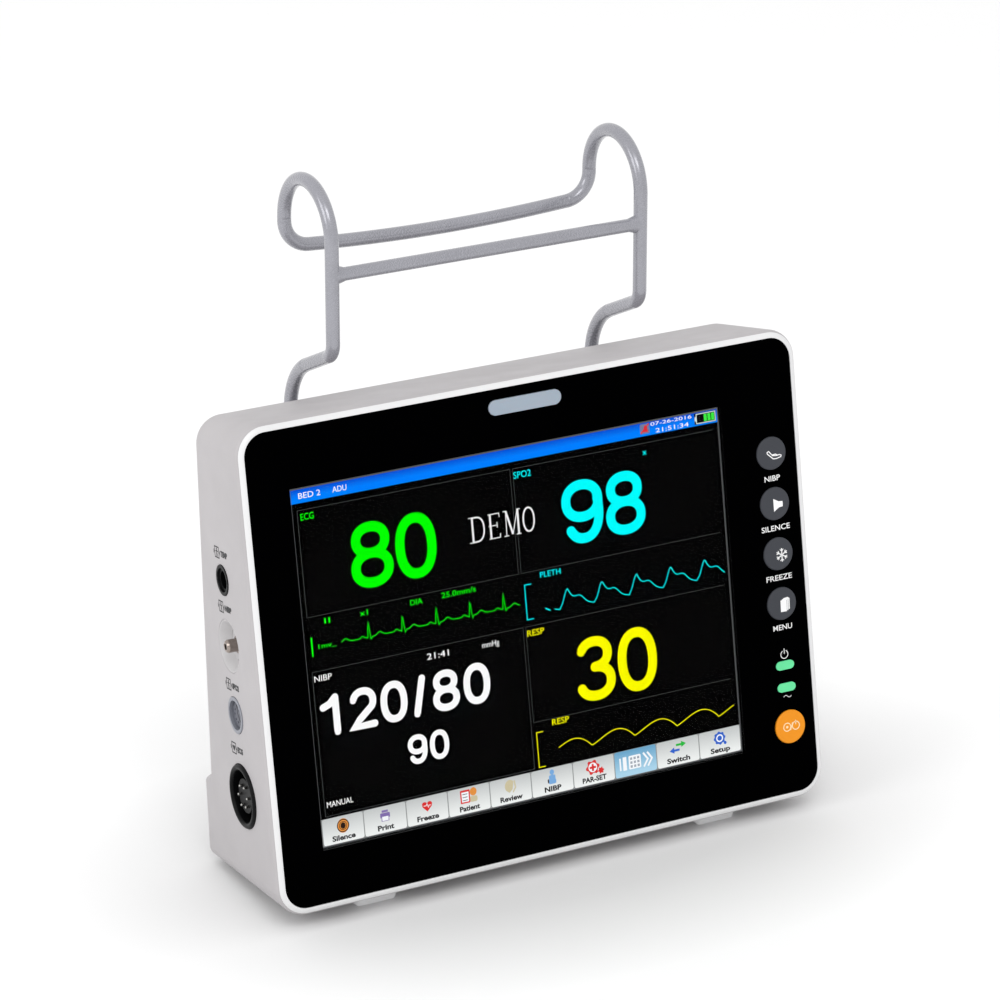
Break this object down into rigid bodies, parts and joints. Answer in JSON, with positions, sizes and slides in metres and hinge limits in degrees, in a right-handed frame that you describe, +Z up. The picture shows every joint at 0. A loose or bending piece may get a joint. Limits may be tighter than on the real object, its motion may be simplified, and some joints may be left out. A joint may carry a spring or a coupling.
{
  "type": "patient monitor",
  "caption": "Portable bedside patient monitor with a leaning screen, front keys, sensor sockets on the left side and a folding wire hook for a bed rail",
  "frame": {"origin": "On the table, midway between the four feet", "axes": "+X to the right as seen by a person facing the screen, +Y to the rear, +Z up; the screen faces -Y and leans back 9.8 degrees"},
  "size_m": [0.2229, 0.0959, 0.2494],
  "materials": {
    "shell_grey": "fine moulded texture",
    "bezel_white": "satin",
    "panel_black": "gloss",
    "screen_glass": "clear",
    "screen_cells": "gloss",
    "sheet_metal": "bright zinc",
    "lens_frost": "frosted",
    "light_green": "frosted",
    "key_grey": "satin",
    "key_orange": "satin",
    "board_green": "solder mask",
    "board_blue": "solder mask",
    "board_tan": "solder mask",
    "chip_black": "matt",
    "winding_yellow": "tape",
    "cell_blue": "shrink sleeve",
    "motor_steel": "brushed",
    "valve_black": "matt",
    "hose_clear": "translucent",
    "speaker_black": "paper cone",
    "screw_zinc": "zinc",
    "foot_white": "matt",
    "port_black": "satin",
    "dish_white": "satin",
    "nipple_metal": "nickel",
    "port_grey": "satin",
    "core_grey": "satin",
    "pin_nickel": "nickel",
    "blade_brass": "bright",
    "port_silver": "tin",
    "stud_brass": "bright",
    "plate_grey": "powder coat",
    "bracket_grey": "powder coat",
    "wire_silver": "metallic flake"
  },
  "bodies": {
    "case": {"front_bezel": "bezel_white", "front_panel": "panel_black", "display_window": "screen_glass", "lcd_face": "screen_cells", "lcd_frame": "chip_black", "alarm_lens": "lens_frost", "alarm_board": "board_green", "status_lights": "light_green", "keypad_board": "board_green", "chassis_plate": "sheet_metal", "main_board": "board_green", "board_chips": "chip_black", "sensor_board": "board_blue", "power_supply": "board_tan", "power_transformer": "winding_yellow", "battery_pack": "cell_blue", "battery_tray": "sheet_metal", "battery_door": "shell_grey", "cuff_pump": "motor_steel", "cuff_valve": "valve_black", "air_tube": "hose_clear", "speaker": "speaker_black", "rear_housing": "shell_grey", "case_screws": "screw_zinc", "foot_front_left": "foot_white", "foot_front_right": "foot_white", "foot_rear_left": "foot_white", "foot_rear_right": "foot_white", "temp_socket": "port_black", "cuff_dish": "dish_white", "cuff_connector": "nipple_metal", "oximeter_socket": "port_grey", "oximeter_core": "core_grey", "lead_socket": "port_black", "lead_pins": "pin_nickel", "mains_inlet": "port_black", "inlet_blades": "blade_brass", "network_socket": "port_silver", "ground_stud": "stud_brass", "mount_plate": "plate_grey", "plate_screws": "screw_zinc", "bracket_left": "bracket_grey", "bracket_right": "bracket_grey", "bracket_screws": "screw_zinc"},
    "hook": {"hook_leg_left": "wire_silver", "hook_leg_right": "wire_silver", "hook_end_bar": "wire_silver", "hook_crossbar": "wire_silver"},
    "key_cuff": {"key_cuff": "key_grey"},
    "key_silence": {"key_silence": "key_grey"},
    "key_freeze": {"key_freeze": "key_grey"},
    "key_menu": {"key_menu": "key_grey"},
    "key_power": {"key_power": "key_orange"}
  },
  "joints": [
    {"name": "key_cuff_press", "type": "slide", "parent": "case", "child": "key_cuff", "axis": [0, 0.9854, -0.1702], "range_m": [0, 0.0008], "stiffness_N_per_m": 2500},
    {"name": "key_silence_press", "type": "slide", "parent": "case", "child": "key_silence", "axis": [0, 0.9854, -0.1702], "range_m": [0, 0.0008], "stiffness_N_per_m": 2500},
    {"name": "key_freeze_press", "type": "slide", "parent": "case", "child": "key_freeze", "axis": [0, 0.9854, -0.1702], "range_m": [0, 0.0008], "stiffness_N_per_m": 2500},
    {"name": "key_menu_press", "type": "slide", "parent": "case", "child": "key_menu", "axis": [0, 0.9854, -0.1702], "range_m": [0, 0.0008], "stiffness_N_per_m": 2500},
    {"name": "key_power_press", "type": "slide", "parent": "case", "child": "key_power", "axis": [0, 0.9854, -0.1702], "range_m": [0, 0.0008], "stiffness_N_per_m": 2500},
    {"name": "hook_fold", "type": "hinge", "parent": "case", "child": "hook", "pos_m": [0, 0.054, 0.1267], "axis": [-1, 0, 0], "range_deg": [0, 180]}
  ]
}
